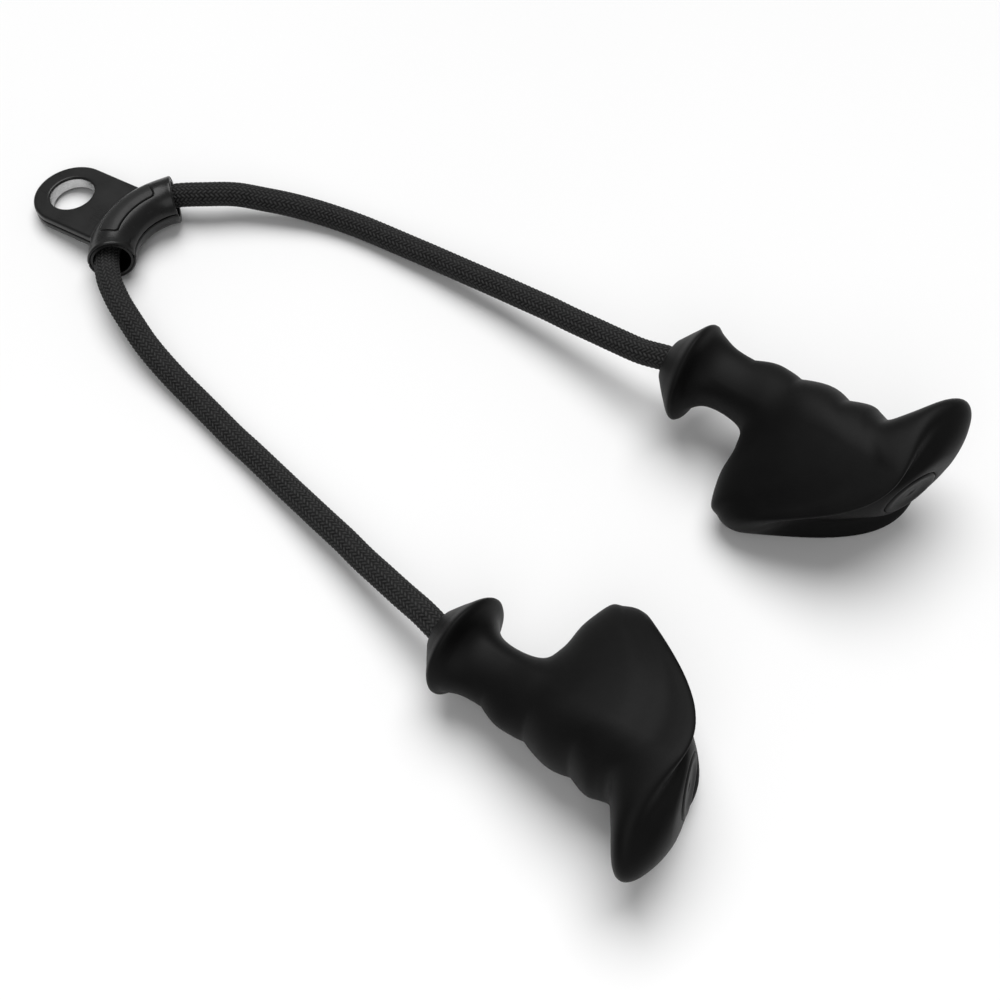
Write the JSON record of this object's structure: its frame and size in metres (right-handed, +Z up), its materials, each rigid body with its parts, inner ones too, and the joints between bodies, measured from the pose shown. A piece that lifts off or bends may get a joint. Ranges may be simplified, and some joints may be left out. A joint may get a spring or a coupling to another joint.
{
  "type": "cable machine rope attachment",
  "caption": "Gym cable attachment: an eye plate with a bent guide tube, a braided rope threaded through it, and moulded ergonomic hand grips that turn on the rope's ends.",
  "frame": {"origin": "middle of the whole part's footprint, on the surface it lies on", "axes": "+X from the carabiner eye towards the hand grips, +Y to the left strand's side, +Z up"},
  "size_m": [0.4787, 0.2733, 0.065],
  "materials": {
    "yoke_shell": "black glass-filled nylon, semi-gloss",
    "badge_pad": "blank matte black inlay",
    "bare_steel": "bare steel",
    "dark_steel": "black oxide",
    "plated_steel": "zinc plated",
    "rope_braid": "black braided polyester sheath",
    "grip_rubber": "matte moulded black rubber",
    "plug_rubber": "matte black",
    "sleeve_nylon": "black nylon"
  },
  "bodies": {
    "yoke": {"yoke_upper_shell": "yoke_shell", "yoke_lower_shell": "yoke_shell", "yoke_core_plate": "bare_steel", "yoke_guide_tube": "dark_steel", "eye_bush": "bare_steel", "yoke_screws": "dark_steel", "blank_badge_pad": "badge_pad", "rope_bight": "rope_braid"},
    "left_rope": {"left_rope_strand": "rope_braid", "left_rope_tail": "rope_braid", "left_rope_ferrule": "plated_steel"},
    "left_grip": {"left_grip_body": "grip_rubber", "left_grip_sleeve": "sleeve_nylon", "left_thrust_washer": "plated_steel", "left_end_plug": "plug_rubber"},
    "right_rope": {"right_rope_strand": "rope_braid", "right_rope_tail": "rope_braid", "right_rope_ferrule": "plated_steel"},
    "right_grip": {"right_grip_body": "grip_rubber", "right_grip_sleeve": "sleeve_nylon", "right_thrust_washer": "plated_steel", "right_end_plug": "plug_rubber"}
  },
  "joints": [
    {"name": "left_strand_swing", "type": "hinge", "parent": "yoke", "child": "left_rope", "pos_m": [-0.17478, 0.02735, 0.01345], "axis": [0, 0, 1], "range_deg": [-5, 45], "deforming": ["left_rope_strand"]},
    {"name": "left_grip_spin", "type": "hinge", "parent": "left_rope", "child": "left_grip", "pos_m": [0.0965, 0.0865, 0.0312], "axis": [0.9995, 0.0174, 0.0262], "continuous": true},
    {"name": "right_strand_swing", "type": "hinge", "parent": "yoke", "child": "right_rope", "pos_m": [-0.17103, -0.02622, 0.01345], "axis": [0, 0, 1], "range_deg": [-45, 5], "deforming": ["right_rope_strand"]},
    {"name": "right_grip_spin", "type": "hinge", "parent": "right_rope", "child": "right_grip", "pos_m": [0.1005, -0.0915, 0.0233], "axis": [0.9954, 0.0087, 0.0958], "continuous": true}
  ]
}
